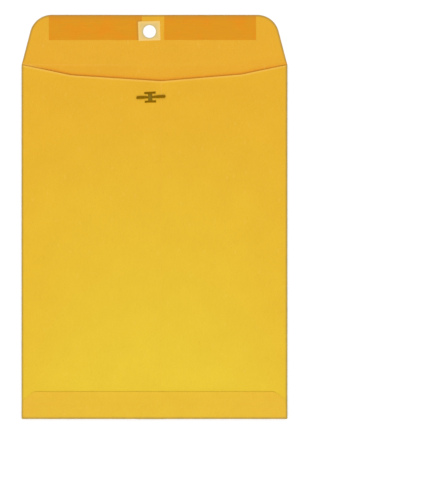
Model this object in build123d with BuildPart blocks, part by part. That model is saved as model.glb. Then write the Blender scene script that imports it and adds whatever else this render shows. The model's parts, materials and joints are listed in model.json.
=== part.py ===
from build123d import *
import os
from math import cos, radians, sin, tan

# A metal-clasp paper envelope, opened flat: it lies on its front face with the back up and
# the seal flap spread out towards +Y. Sizes are in millimetres. The origin is under the middle
# of the whole outline, X runs across the envelope and Z is up from the face it lies on.

# Whole envelope
WIDTH = 228.6  # 9 inches, side fold to side fold
BODY_HEIGHT = 304.8  # 12 inches, bottom fold to flap crease
FLAP_DEPTH = 42.9  # flap crease to the flap's free edge
PAPER = 0.15  # thickness of the kraft sheet
POCKET_GAP = 1.0  # clear space between the front and the back
GLUE_FILM = 0.05  # thickness of a set glue line

# Throat, the top edge of the back: each half falls from the shoulder to a knee, then to the seam
SHOULDER_DROP = 0.4
LEFT_KNEE_INSET = 42.8
LEFT_KNEE_DROP = 9.2
RIGHT_KNEE_INSET = 39.4
RIGHT_KNEE_DROP = 8.5
THROAT_DROP = 14.3
HIDDEN_EDGE_DROP = 1.6  # how much further the tucked-under corner falls

# Centre seam: the left half lies over the right half
SEAM_EDGE_X = 5.8
SEAM_OVERLAP = 19.0
STEP_RUN = 3.0  # length over which a sheet climbs over the edge under it
STEP_CLEARANCE = 0.3
GLUE_INSET = 1.0
SEAM_GLUE_TOP_INSET = 4.0

# Bottom flap, glued up over the back
BOTTOM_FLAP_HEIGHT = 23.7
BOTTOM_FLAP_SIDE_HEIGHT = 15.7
BOTTOM_FLAP_CUT = 10.7  # how far in its slanted corners start
BOTTOM_FLAP_ROUND = 8.0
BOTTOM_FLAP_SIDE_INSET = 0.5
BOTTOM_GLUE_INSET = 12.0
BOTTOM_GLUE_MARGIN = 3.0
PANEL_END_CLEARANCE = 0.3

# Seal flap
FLAP_SIDE_LEAN = 14.7  # degrees its sides lean inwards
FLAP_CORNER_RADIUS = 19.0
HOLE_DIAMETER = 11.1
HOLE_HEIGHT = 28.65  # crease to the centre of the hole
HOLE_SHIFT_X = -0.7  # off the centre of the clasp
GUM_FILM = 0.03
GUM_BAND = 21.6  # depth of the gummed band below the free edge
GUM_EDGE_MARGIN = 0.2
GUM_LEFT_INSET = 23.4  # envelope side to the strip's outer end
GUM_RIGHT_INSET = 26.9
GUM_LEFT_GAP = 10.8  # envelope middle to the strip's inner end
GUM_RIGHT_GAP = 8.4
PATCH_WIDTH = 18.8
PATCH_HEIGHT = 16.6
PATCH_THICKNESS = 0.12
PATCH_SHIFT_X = -0.2  # off the centre of the hole
PATCH_SHIFT_Y = 0.5
PATCH_TURN = 1.8  # degrees it was stuck on askew
PATCH_CLEARANCE = 0.05

# Clasp: one stamping with an I-shaped base and two prongs that bend
CLASP_X = -3.6
CLASP_LEAD = 0.55  # how much nearer to the crease the clasp is than the hole
CLASP_TURN = 2.6  # degrees it was punched in askew
METAL = 0.3
CLASP_HEIGHT = 9.7
STEM_WIDTH = 3.7
BAR_LENGTH = 9.7
BAR_WIDTH = 2.0
LEG_WIDTH = 1.6
TOE_LENGTH = 2.0  # length of a leg clinched flat inside the pocket
SLIT_CLEARANCE = 0.05
TOE_CLEARANCE = 0.02
CLOSING_CLEARANCE = 0.05  # between the closed flap's patch and the clasp base
LEFT_PRONG_REACH = 11.9  # clasp middle to a prong's tip
RIGHT_PRONG_REACH = 13.1
PRONG_TIP_ROUND = 0.9  # corner radius of a prong's blunt tip
PRONG_ROOT_WIDTH = 1.8
PRONG_TIP_WIDTH = 2.4
PRONG_ROOT_GAP = 0.2  # stem side to a prong's bending line
PRONG_ROOT_RUN = 0.5
PRONG_JOG_RUN = 1.3  # length over which a prong climbs to lie on the closed flap
PRONG_WIDENING = 5.0  # where a prong reaches its full width, from its bending line
PRONG_CLEARANCE = 0.05

# Levels of the stack, each one resting on the last
BACK_LOW = PAPER + POCKET_GAP
BACK_HIGH = BACK_LOW + PAPER + GLUE_FILM
BOTTOM_LOW = BACK_LOW + PAPER + GLUE_FILM
BOTTOM_HIGH = BACK_HIGH + PAPER + GLUE_FILM
CLASP_SEAT = BACK_HIGH + PAPER
CLASP_TOP = CLASP_SEAT + METAL
CLOSED_FLAP_INNER = CLASP_TOP + CLOSING_CLEARANCE + PATCH_THICKNESS
CLOSED_FLAP_OUTER = CLOSED_FLAP_INNER + PAPER
CREASE_Z = CLOSED_FLAP_OUTER / 2
PRONG_LOW = CLASP_SEAT + METAL / 2
PRONG_HIGH = CLOSED_FLAP_OUTER + PRONG_CLEARANCE + METAL / 2

# Places in the plan
BOTTOM_Y = -(BODY_HEIGHT + FLAP_DEPTH) / 2
CREASE_Y = BOTTOM_Y + BODY_HEIGHT
TOP_Y = CREASE_Y + FLAP_DEPTH
SIDE_FOLD_HEIGHT = BACK_LOW + PAPER
SIDE_FOLD_X = WIDTH / 2 - SIDE_FOLD_HEIGHT / 2
BOTTOM_FOLD_LOW = BOTTOM_LOW + PAPER
BOTTOM_FOLD_HIGH = BOTTOM_HIGH + PAPER
BOTTOM_FOLD_Y = BOTTOM_Y + BOTTOM_FOLD_HIGH / 2
PANEL_END_Y = BOTTOM_FOLD_Y + PANEL_END_CLEARANCE
SHOULDER_Y = CREASE_Y - SHOULDER_DROP
THROAT_Y = CREASE_Y - THROAT_DROP
HIDDEN_EDGE_X = SEAM_EDGE_X - SEAM_OVERLAP
STEP_UP_END = HIDDEN_EDGE_X - STEP_CLEARANCE
STEP_UP_START = STEP_UP_END - STEP_RUN
STEP_DOWN_START = SEAM_EDGE_X + STEP_CLEARANCE
STEP_DOWN_END = STEP_DOWN_START + STEP_RUN
BOTTOM_FLAP_X = WIDTH / 2 - BOTTOM_FLAP_SIDE_INSET
HOLE_X = CLASP_X + HOLE_SHIFT_X
HOLE_Y = CREASE_Y + HOLE_HEIGHT
CLASP_Y = CREASE_Y - HOLE_HEIGHT + CLASP_LEAD
LEG_X = BAR_LENGTH / 2 - LEG_WIDTH / 2
LEG_Y = CLASP_HEIGHT / 2 - METAL / 2
TOE_TOP = BACK_LOW - TOE_CLEARANCE
PRONG_AXIS = STEM_WIDTH / 2 + PRONG_ROOT_GAP

CLASP_ACROSS = Vector(cos(radians(CLASP_TURN)), sin(radians(CLASP_TURN)), 0)
CLASP_PLANE = Plane(origin=(CLASP_X, CLASP_Y, CLASP_SEAT), x_dir=CLASP_ACROSS, z_dir=(0, 0, 1))


def sheet_section(path, thickness):
    """Corners of a thin sheet's section, from the line its underside follows."""
    upper = [(x, z + thickness) for x, z in reversed(path)]
    return list(path) + upper


# Line the left half's underside follows across the envelope: it climbs over the tucked edge
LEFT_PANEL_PATH = [
    (-SIDE_FOLD_X, BACK_LOW),
    (STEP_UP_START, BACK_LOW),
    (STEP_UP_END, BACK_HIGH),
    (SEAM_EDGE_X, BACK_HIGH),
]

# Line the bottom flap's underside follows: up over the seam and down again
BOTTOM_FLAP_PATH = [
    (-BOTTOM_FLAP_X, BOTTOM_LOW),
    (STEP_UP_START, BOTTOM_LOW),
    (STEP_UP_END, BOTTOM_HIGH),
    (STEP_DOWN_START, BOTTOM_HIGH),
    (STEP_DOWN_END, BOTTOM_LOW),
    (BOTTOM_FLAP_X, BOTTOM_LOW),
]

# Slits for the four clasp legs, cut through everything the clasp is punched through
with BuildSketch(CLASP_PLANE) as leg_slits:
    with GridLocations(2 * LEG_X, 2 * LEG_Y, 2, 2):
        Rectangle(LEG_WIDTH + 2 * SLIT_CLEARANCE, METAL + 2 * SLIT_CLEARANCE)
SLIT_DEPTH = CLASP_SEAT - PAPER - POCKET_GAP / 2

# Front panel
with BuildPart() as front_panel:
    with BuildSketch(Plane.XY):
        with BuildLine():
            Polyline(
                (-SIDE_FOLD_X, BOTTOM_FOLD_Y),
                (SIDE_FOLD_X, BOTTOM_FOLD_Y),
                (SIDE_FOLD_X, CREASE_Y),
                (-SIDE_FOLD_X, CREASE_Y),
                close=True,
            )
        make_face()
    extrude(amount=PAPER)

# Left half of the back
with BuildPart() as left_back_panel:
    with BuildSketch(Plane.XZ):
        with BuildLine():
            Polyline(*sheet_section(LEFT_PANEL_PATH, PAPER), close=True)
        make_face()
    extrude(amount=BODY_HEIGHT, both=True)
    with BuildSketch(Plane.XY):
        with BuildLine():
            Polyline(
                (-SIDE_FOLD_X, PANEL_END_Y),
                (SEAM_EDGE_X, PANEL_END_Y),
                (SEAM_EDGE_X, THROAT_Y),
                (-WIDTH / 2 + LEFT_KNEE_INSET, CREASE_Y - LEFT_KNEE_DROP),
                (-SIDE_FOLD_X, SHOULDER_Y),
                close=True,
            )
        make_face()
    extrude(amount=CLASP_TOP, mode=Mode.INTERSECT)
    extrude(leg_slits.sketch, amount=-SLIT_DEPTH, mode=Mode.SUBTRACT)

# Right half of the back, with its edge tucked under the left half
with BuildPart() as right_back_panel:
    with BuildSketch(Plane.XY.offset(BACK_LOW)):
        with BuildLine():
            Polyline(
                (HIDDEN_EDGE_X, PANEL_END_Y),
                (SIDE_FOLD_X, PANEL_END_Y),
                (SIDE_FOLD_X, SHOULDER_Y),
                (WIDTH / 2 - RIGHT_KNEE_INSET, CREASE_Y - RIGHT_KNEE_DROP),
                (SEAM_EDGE_X, THROAT_Y),
                (HIDDEN_EDGE_X, THROAT_Y - HIDDEN_EDGE_DROP),
                close=True,
            )
        make_face()
    extrude(amount=PAPER)
    extrude(leg_slits.sketch, amount=-SLIT_DEPTH, mode=Mode.SUBTRACT)

# Side folds, the half-round turns that join the front to each half of the back
SIDE_FOLD_PLANE = Plane.XZ.offset(-PANEL_END_Y)
SIDE_FOLD_LENGTH = SHOULDER_Y - PANEL_END_Y
SIDE_FOLD_BEND = (SIDE_FOLD_X, SIDE_FOLD_HEIGHT / 2)

with BuildPart() as right_side_fold:
    with BuildSketch(SIDE_FOLD_PLANE):
        with Locations(SIDE_FOLD_BEND):
            Circle(SIDE_FOLD_HEIGHT / 2)
            Circle(SIDE_FOLD_HEIGHT / 2 - PAPER, mode=Mode.SUBTRACT)
            Rectangle(SIDE_FOLD_HEIGHT, SIDE_FOLD_HEIGHT, align=(Align.MAX, Align.CENTER), mode=Mode.SUBTRACT)
    extrude(amount=-SIDE_FOLD_LENGTH)

with BuildPart() as left_side_fold:
    mirror(right_side_fold.part, about=Plane.YZ)

# Bottom fold, the half-round turn that joins the front to the bottom flap
with BuildPart() as bottom_fold:
    for fold_x, underside in BOTTOM_FLAP_PATH:
        fold_height = underside + PAPER
        middle = fold_height / 2
        with BuildSketch(Plane.YZ.offset(fold_x)):
            with BuildLine():
                ThreePointArc(
                    (BOTTOM_FOLD_Y, 0),
                    (BOTTOM_FOLD_Y - middle, middle),
                    (BOTTOM_FOLD_Y, fold_height),
                )
                Line((BOTTOM_FOLD_Y, fold_height), (BOTTOM_FOLD_Y, underside))
                ThreePointArc(
                    (BOTTOM_FOLD_Y, underside),
                    (BOTTOM_FOLD_Y - middle + PAPER, middle),
                    (BOTTOM_FOLD_Y, PAPER),
                )
                Line((BOTTOM_FOLD_Y, PAPER), (BOTTOM_FOLD_Y, 0))
            make_face()
    loft(ruled=True)

# Bottom flap
with BuildPart() as bottom_flap:
    with BuildSketch(Plane.XZ):
        with BuildLine():
            Polyline(*sheet_section(BOTTOM_FLAP_PATH, PAPER), close=True)
        make_face()
    extrude(amount=BODY_HEIGHT, both=True)
    with BuildSketch(Plane.XY):
        with BuildLine():
            Polyline(
                (-BOTTOM_FLAP_X, BOTTOM_FOLD_Y),
                (BOTTOM_FLAP_X, BOTTOM_FOLD_Y),
                (BOTTOM_FLAP_X, BOTTOM_Y + BOTTOM_FLAP_SIDE_HEIGHT),
                (WIDTH / 2 - BOTTOM_FLAP_CUT, BOTTOM_Y + BOTTOM_FLAP_HEIGHT),
                (-WIDTH / 2 + BOTTOM_FLAP_CUT, BOTTOM_Y + BOTTOM_FLAP_HEIGHT),
                (-BOTTOM_FLAP_X, BOTTOM_Y + BOTTOM_FLAP_SIDE_HEIGHT),
                close=True,
            )
        outline = make_face()
        fillet(outline.vertices().sort_by(Axis.Y)[2:], BOTTOM_FLAP_ROUND)
    extrude(amount=BOTTOM_HIGH + 2 * PAPER, mode=Mode.INTERSECT)

# Glue lines
with BuildPart() as seam_glue:
    with BuildSketch(Plane.XY.offset(BACK_LOW + PAPER)):
        with BuildLine():
            Polyline(
                (HIDDEN_EDGE_X + GLUE_INSET, PANEL_END_Y + GLUE_INSET),
                (SEAM_EDGE_X - GLUE_INSET, PANEL_END_Y + GLUE_INSET),
                (SEAM_EDGE_X - GLUE_INSET, THROAT_Y - SEAM_GLUE_TOP_INSET),
                (HIDDEN_EDGE_X + GLUE_INSET, THROAT_Y - SEAM_GLUE_TOP_INSET),
                close=True,
            )
        make_face()
    extrude(amount=GLUE_FILM)
    extrude(leg_slits.sketch, amount=-SLIT_DEPTH, mode=Mode.SUBTRACT)

GLUE_LOW_Y = BOTTOM_FOLD_Y + BOTTOM_GLUE_MARGIN
GLUE_HIGH_Y = BOTTOM_Y + BOTTOM_FLAP_HEIGHT - BOTTOM_GLUE_MARGIN
BOTTOM_GLUE_X = WIDTH / 2 - BOTTOM_GLUE_INSET
LEFT_GLUE_PATH = [
    (-BOTTOM_GLUE_X, BACK_LOW + PAPER),
    (STEP_UP_START, BACK_LOW + PAPER),
    (STEP_UP_END, BACK_HIGH + PAPER),
    (SEAM_EDGE_X - GLUE_INSET, BACK_HIGH + PAPER),
]

with BuildPart() as bottom_glue_left:
    with BuildSketch(Plane.XZ.offset(-GLUE_LOW_Y)):
        with BuildLine():
            Polyline(*sheet_section(LEFT_GLUE_PATH, GLUE_FILM), close=True)
        make_face()
    extrude(amount=GLUE_LOW_Y - GLUE_HIGH_Y)

with BuildPart() as bottom_glue_right:
    with BuildSketch(Plane.XY.offset(BACK_LOW + PAPER)):
        with BuildLine():
            Polyline(
                (STEP_DOWN_END + GLUE_INSET, GLUE_LOW_Y),
                (BOTTOM_GLUE_X, GLUE_LOW_Y),
                (BOTTOM_GLUE_X, GLUE_HIGH_Y),
                (STEP_DOWN_END + GLUE_INSET, GLUE_HIGH_Y),
                close=True,
            )
        make_face()
    extrude(amount=GLUE_FILM)

# Seal flap
FLAP_TOP_HALF = WIDTH / 2 - FLAP_DEPTH * tan(radians(FLAP_SIDE_LEAN))

with BuildPart() as seal_flap:
    with BuildSketch(Plane.XY):
        with BuildLine():
            Polyline(
                (-WIDTH / 2, CREASE_Y),
                (WIDTH / 2, CREASE_Y),
                (FLAP_TOP_HALF, TOP_Y),
                (-FLAP_TOP_HALF, TOP_Y),
                close=True,
            )
        flap_outline = make_face()
        fillet(flap_outline.vertices().sort_by(Axis.Y)[2:], FLAP_CORNER_RADIUS)
        with Locations((HOLE_X, HOLE_Y)):
            Circle(HOLE_DIAMETER / 2, mode=Mode.SUBTRACT)
    extrude(amount=PAPER)

# Reinforcing patch round the hole
PATCH_CENTRE = (HOLE_X + PATCH_SHIFT_X, HOLE_Y + PATCH_SHIFT_Y)

with BuildPart() as hole_patch:
    with BuildSketch(Plane.XY.offset(PAPER)):
        with Locations(PATCH_CENTRE):
            Rectangle(PATCH_WIDTH, PATCH_HEIGHT, rotation=PATCH_TURN)
        with Locations((HOLE_X, HOLE_Y)):
            Circle(HOLE_DIAMETER / 2, mode=Mode.SUBTRACT)
    extrude(amount=PATCH_THICKNESS)

# Gummed strips, bare where the patch covers them
GUM_TOP_Y = TOP_Y - GUM_EDGE_MARGIN
GUM_LOW_Y = TOP_Y - GUM_BAND
GUM_SPANS = [
    ("flap_gum_left", -WIDTH / 2 + GUM_LEFT_INSET, -GUM_LEFT_GAP),
    ("flap_gum_right", GUM_RIGHT_GAP, WIDTH / 2 - GUM_RIGHT_INSET),
]
gum_strips = []
for gum_name, gum_start, gum_end in GUM_SPANS:
    with BuildPart() as gum_strip:
        with BuildSketch(Plane.XY.offset(PAPER)):
            with Locations(((gum_start + gum_end) / 2, (GUM_LOW_Y + GUM_TOP_Y) / 2)):
                Rectangle(gum_end - gum_start, GUM_TOP_Y - GUM_LOW_Y)
            with Locations(PATCH_CENTRE):
                Rectangle(
                    PATCH_WIDTH + 2 * PATCH_CLEARANCE,
                    PATCH_HEIGHT + 2 * PATCH_CLEARANCE,
                    rotation=PATCH_TURN,
                    mode=Mode.SUBTRACT,
                )
        extrude(amount=GUM_FILM)
    gum_strip.part.label = gum_name
    gum_strips.append(gum_strip)

# Clasp base: the I-shaped plate, its four legs and their clinched toes
with BuildPart() as clasp_base:
    with BuildSketch(CLASP_PLANE):
        Rectangle(STEM_WIDTH, CLASP_HEIGHT)
        with GridLocations(0, CLASP_HEIGHT - BAR_WIDTH, 1, 2):
            Rectangle(BAR_LENGTH, BAR_WIDTH)
    extrude(amount=METAL)
    with BuildSketch(CLASP_PLANE):
        with GridLocations(2 * LEG_X, 2 * LEG_Y, 2, 2):
            Rectangle(LEG_WIDTH, METAL)
    extrude(amount=TOE_TOP - METAL - CLASP_SEAT)
    with BuildSketch(CLASP_PLANE.offset(TOE_TOP - CLASP_SEAT)):
        with GridLocations(2 * LEG_X, CLASP_HEIGHT - TOE_LENGTH, 2, 2):
            Rectangle(LEG_WIDTH, TOE_LENGTH)
    extrude(amount=-METAL)

# Clasp prongs: round at the bending line, then a jog up to the level of the closed flap
PRONG_START = PRONG_AXIS - METAL
PRONG_JOG_START = PRONG_AXIS + PRONG_ROOT_RUN
PRONG_SIDES = [
    ("clasp_prong_left", -1, LEFT_PRONG_REACH),
    ("clasp_prong_right", 1, RIGHT_PRONG_REACH),
]
prongs = []
for prong_name, side, reach in PRONG_SIDES:
    outward = CLASP_ACROSS * side
    along = outward.cross(Vector(0, 0, 1))
    side_plane = Plane(origin=(CLASP_X, CLASP_Y, 0), x_dir=outward, z_dir=along)
    plan_plane = Plane(origin=(CLASP_X, CLASP_Y, 0), x_dir=outward, z_dir=(0, 0, 1))
    with BuildPart() as prong:
        with BuildSketch(side_plane):
            with BuildLine():
                Polyline(
                    (PRONG_AXIS, PRONG_LOW),
                    (PRONG_JOG_START, PRONG_LOW),
                    (PRONG_JOG_START + PRONG_JOG_RUN, PRONG_HIGH),
                    (reach, PRONG_HIGH),
                )
                offset(amount=METAL / 2, kind=Kind.ARC, mode=Mode.REPLACE)
            make_face()
        extrude(amount=PRONG_TIP_WIDTH, both=True)
        with BuildSketch(plan_plane):
            with BuildLine():
                Polyline(
                    (reach, -PRONG_TIP_WIDTH / 2),
                    (reach, PRONG_TIP_WIDTH / 2),
                    (PRONG_AXIS + PRONG_WIDENING, PRONG_TIP_WIDTH / 2),
                    (PRONG_AXIS, PRONG_ROOT_WIDTH / 2),
                    (PRONG_START, PRONG_ROOT_WIDTH / 2),
                    (PRONG_START, -PRONG_ROOT_WIDTH / 2),
                    (PRONG_AXIS, -PRONG_ROOT_WIDTH / 2),
                    (PRONG_AXIS + PRONG_WIDENING, -PRONG_TIP_WIDTH / 2),
                    close=True,
                )
            blade = make_face()
            fillet(blade.vertices().sort_by(Axis.X)[-2:], PRONG_TIP_ROUND)
        extrude(amount=PRONG_HIGH + METAL, mode=Mode.INTERSECT)
    prong.part.label = prong_name
    prongs.append(prong)

front_panel.part.label = "front_panel"
left_back_panel.part.label = "left_back_panel"
right_back_panel.part.label = "right_back_panel"
left_side_fold.part.label = "left_side_fold"
right_side_fold.part.label = "right_side_fold"
bottom_fold.part.label = "bottom_fold"
bottom_flap.part.label = "bottom_flap"
seam_glue.part.label = "seam_glue"
bottom_glue_left.part.label = "bottom_glue_left"
bottom_glue_right.part.label = "bottom_glue_right"
seal_flap.part.label = "seal_flap"
hole_patch.part.label = "hole_patch"
clasp_base.part.label = "clasp_base"

ALL_PIECES = [
    front_panel,
    left_back_panel,
    right_back_panel,
    left_side_fold,
    right_side_fold,
    bottom_fold,
    bottom_flap,
    seam_glue,
    bottom_glue_left,
    bottom_glue_right,
    seal_flap,
    hole_patch,
    clasp_base,
]
ALL_PIECES += gum_strips + prongs

os.makedirs("parts", exist_ok=True)
for piece in ALL_PIECES:
    export_step(piece.part, f"parts/{piece.part.label}.step")
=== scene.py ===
import json
import math

import bpy
import numpy as np
from mathutils import Matrix, Vector, noise
from mathutils.geometry import delaunay_2d_cdt


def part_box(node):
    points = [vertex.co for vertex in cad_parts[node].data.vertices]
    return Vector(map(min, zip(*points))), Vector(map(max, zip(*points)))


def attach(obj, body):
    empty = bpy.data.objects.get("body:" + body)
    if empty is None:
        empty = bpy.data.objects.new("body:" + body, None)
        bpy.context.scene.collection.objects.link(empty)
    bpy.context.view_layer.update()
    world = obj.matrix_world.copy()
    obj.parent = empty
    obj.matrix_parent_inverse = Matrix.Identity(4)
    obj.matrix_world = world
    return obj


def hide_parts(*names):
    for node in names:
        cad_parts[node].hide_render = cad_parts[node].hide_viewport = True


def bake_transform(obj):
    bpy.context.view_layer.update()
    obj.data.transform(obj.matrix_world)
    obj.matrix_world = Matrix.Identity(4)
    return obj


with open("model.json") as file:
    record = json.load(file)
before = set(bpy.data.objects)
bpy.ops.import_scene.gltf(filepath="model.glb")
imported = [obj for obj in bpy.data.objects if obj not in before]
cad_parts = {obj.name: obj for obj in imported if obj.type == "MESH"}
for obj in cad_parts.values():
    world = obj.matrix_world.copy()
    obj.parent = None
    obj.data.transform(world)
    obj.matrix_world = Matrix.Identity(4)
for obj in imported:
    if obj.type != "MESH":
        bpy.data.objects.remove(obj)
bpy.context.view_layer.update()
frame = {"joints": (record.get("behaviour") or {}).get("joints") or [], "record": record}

MM = 0.001

# Places read from the frame
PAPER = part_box("front_panel")[1].z
SIDE_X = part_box("front_panel")[1].x
FOLD_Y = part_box("front_panel")[0].y
CREASE_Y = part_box("seal_flap")[0].y
TOP_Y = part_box("seal_flap")[1].y
HALF_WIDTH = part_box("seal_flap")[1].x
BOTTOM_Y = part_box("bottom_fold")[0].y
PANEL_END_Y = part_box("left_back_panel")[0].y
SHOULDER_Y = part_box("left_back_panel")[1].y
SEAM_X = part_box("left_back_panel")[1].x
HIDDEN_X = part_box("right_back_panel")[0].x
BACK_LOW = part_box("right_back_panel")[0].z
SEAM_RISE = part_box("left_back_panel")[1].z - PAPER - BACK_LOW
BOTTOM_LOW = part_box("bottom_flap")[0].z
BOTTOM_FLAP_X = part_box("bottom_flap")[1].x
BOTTOM_FLAP_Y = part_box("bottom_flap")[1].y
GLUE_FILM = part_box("seam_glue")[1].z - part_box("seam_glue")[0].z
GUM_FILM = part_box("flap_gum_left")[1].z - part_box("flap_gum_left")[0].z
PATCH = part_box("hole_patch")[1].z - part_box("hole_patch")[0].z
CLASP_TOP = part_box("clasp_base")[1].z
TOE_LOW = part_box("clasp_base")[0].z
PRONG_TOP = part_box("clasp_prong_left")[1].z
SIDE_FOLD_HEIGHT = BACK_LOW + PAPER

JOINTS = {joint["name"]: joint for joint in frame["joints"]}
MOUNTS = {mount["name"]: mount for mount in frame["record"]["mounts"]}
LEFT_BEND = Vector(JOINTS["left_prong_bend"]["pos_m"])
RIGHT_BEND = Vector(JOINTS["right_prong_bend"]["pos_m"])
CLASP = (LEFT_BEND + RIGHT_BEND) / 2
ACROSS = (RIGHT_BEND - LEFT_BEND).normalized()
ALONG = Vector((-ACROSS.y, ACROSS.x, 0))
BEND_REACH = (RIGHT_BEND - LEFT_BEND).length / 2
HOLE = Vector(MOUNTS["flap_hole"]["pos_m"])
HOLE_RADIUS = MOUNTS["flap_hole"]["dims"]["r_mm"] * MM

# Outlines of the sheet and the clasp, as the solids have them
LEFT_KNEE = (-HALF_WIDTH + 42.8 * MM, CREASE_Y - 9.2 * MM)
RIGHT_KNEE = (HALF_WIDTH - 39.4 * MM, CREASE_Y - 8.5 * MM)
THROAT_Y = CREASE_Y - 14.3 * MM
HIDDEN_THROAT_Y = THROAT_Y - 1.6 * MM
STEP_RUN = 3.0 * MM
STEP_CLEARANCE = 0.3 * MM
BOTTOM_FLAP_SIDE_Y = BOTTOM_Y + 15.7 * MM
BOTTOM_FLAP_CUT = 10.7 * MM
BOTTOM_FLAP_ROUND = 8.0 * MM
FLAP_LEAN = math.radians(14.7)
FLAP_CORNER = 19.0 * MM
PATCH_SIZE = (18.8 * MM, 16.6 * MM)
PATCH_SHIFT = (-0.2 * MM, 0.5 * MM)
PATCH_TURN = math.radians(1.8)
CLASP_HEIGHT = 9.7 * MM
STEM_WIDTH = 3.7 * MM
BAR_LENGTH = 9.7 * MM
BAR_WIDTH = 2.0 * MM
METAL = 0.3 * MM
LEG_WIDTH = 1.6 * MM
TOE_LENGTH = 2.0 * MM
LEFT_PRONG_REACH = 11.9 * MM
RIGHT_PRONG_REACH = 13.1 * MM
PRONG_ROOT_WIDTH = 1.8 * MM
PRONG_TIP_WIDTH = 2.4 * MM
PRONG_TIP_ROUND = 0.9 * MM
PRONG_WIDENING = 5.0 * MM
PRONG_ROOT_RUN = 0.5 * MM
PRONG_JOG_RUN = 1.3 * MM

# How the paper lies
CREASE_BLEND = 1.2 * MM  # half the width of the strip that bends when the flap folds
CREASE_RIDGE = 0.02 * MM
CREASE_RIDGE_WIDTH = 0.5 * MM
BELLY = 0.9 * MM  # how far the empty back swells
BELLY_RUN = 34 * MM  # how far in from the rim the swell is full
BELLY_TOP = (46 * MM, 120 * MM)  # distances below the crease where it starts and is full
COCKLE = 0.16 * MM  # height of the slow waves in the back
COCKLE_LONG = 46 * MM
COCKLE_SHORT = 19 * MM
COCKLE_SIDE_RUN = 30 * MM
COCKLE_BOTTOM_RUN = 20 * MM
COCKLE_CLASP = (9 * MM, 34 * MM)  # distances from the clasp where the waves start and are full
THROAT_CURL = 0.2 * MM
THROAT_CURL_RUN = 7.0 * MM
THROAT_CURL_SIDE_RUN = 26 * MM
BOTTOM_FLAP_CURL = 0.2 * MM  # how far the unglued margin of the bottom flap lifts
BOTTOM_FLAP_CURL_RUN = 3.0 * MM
BOTTOM_FLAP_CURL_WAVE = 22 * MM
FLAP_WAVE = 0.16 * MM
FLAP_WAVE_LENGTH = 40 * MM
FLAP_WAVE_HOLE = (14 * MM, 44 * MM)  # distances from the hole where the waves start and are full
FLAP_WAVE_CREASE = (10 * MM, 30 * MM)  # the same from the crease


def smooth(low, high, value):
    """0 below low, 1 above high and an eased slope between them."""
    t = min(max((value - low) / (high - low), 0.0), 1.0)
    return t * t * (3 - 2 * t)


def wave(x, y, length, seed):
    """Slow noise from 0 to 1 with waves of about the given length."""
    return 0.5 + 0.5 * noise.noise(Vector((x / length, y / length, seed)))


def srgb(red, green, blue):
    """Linear colour of a colour given in display values from 0 to 255."""
    def linear(value):
        v = value / 255
        return v / 12.92 if v <= 0.04045 else ((v + 0.055) / 1.055) ** 2.4

    return (linear(red), linear(green), linear(blue), 1.0)


# Outlines

def rounded(corners, steps=14):
    """A closed outline from (x, y, radius) corners, with each corner turned into an arc."""
    points = []
    for i, (x, y, radius) in enumerate(corners):
        corner = Vector((x, y))
        if radius == 0:
            points.append(corner)
            continue
        before = (Vector(corners[i - 1][:2]) - corner).normalized()
        after = (Vector(corners[(i + 1) % len(corners)][:2]) - corner).normalized()
        half = before.angle(after) / 2
        centre = corner + (before + after).normalized() * (radius / math.sin(half))
        start = corner + before * (radius / math.tan(half)) - centre
        turn = start.angle_signed(corner + after * (radius / math.tan(half)) - centre)
        for k in range(steps + 1):
            spin = Matrix.Rotation(-turn * k / steps, 2)
            points.append(centre + spin @ start)
    return points


def rectangle(x0, y0, x1, y1):
    return [Vector((x0, y0)), Vector((x1, y0)), Vector((x1, y1)), Vector((x0, y1))]


def circle(centre, radius, steps=72):
    """A closed round outline."""
    angles = [2 * math.pi * k / steps for k in range(steps)]
    return [Vector((centre.x + radius * math.cos(a), centre.y + radius * math.sin(a))) for a in angles]


def divided(loop, step):
    """A closed outline with points no further apart than a step."""
    points = []
    for i, a in enumerate(loop):
        b = loop[(i + 1) % len(loop)]
        count = max(1, math.ceil((b - a).length / step - 1e-6))
        points += [a.lerp(b, k / count) for k in range(count)]
    return points


def closed(loop):
    """The line that runs once round an outline."""
    return loop + loop[:1]


def is_inside(points, loops):
    """Which points lie inside the outer outline and outside the holes."""
    found = np.zeros(len(points), bool)
    x = points[:, 0]
    y = points[:, 1]
    for loop in loops:
        for a, b in zip(loop, loop[1:] + loop[:1]):
            if a.y == b.y:
                continue
            crosses = (a.y > y) != (b.y > y)
            found ^= crosses & (x < a.x + (b.x - a.x) * (y - a.y) / (b.y - a.y))
    return found


FAR = 1.0  # longer than any distance on the part


def distance_to(points, lines):
    """Distance from each point to the nearest of some lines of points."""
    best = np.full(len(points), FAR)
    for line in lines:
        for start, end in zip(line, line[1:]):
            a = np.array(start)
            run = np.array(end) - a
            t = np.clip(((points - a) @ run) / max(run @ run, 1e-18), 0, 1)
            best = np.minimum(best, np.linalg.norm(points - a - t[:, None] * run, axis=1))
    return best


def throat_line(x):
    """Height in the plan of the throat's edge."""
    stops = [(-SIDE_X, SHOULDER_Y), LEFT_KNEE, (SEAM_X, THROAT_Y), RIGHT_KNEE, (SIDE_X, SHOULDER_Y)]
    return np.interp(x, [s[0] for s in stops], [s[1] for s in stops])


# Meshes

def store(mesh, readings):
    """Keeps numbers and vectors at a mesh's vertices."""
    for name, values in readings.items():
        flat = np.array(values, np.float32)
        kind, field = ("FLOAT", "value") if flat.ndim == 1 else ("FLOAT_VECTOR", "vector")
        attribute = mesh.attributes.get(name) or mesh.attributes.new(name, kind, "POINT")
        attribute.data.foreach_set(field, flat.ravel())


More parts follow.
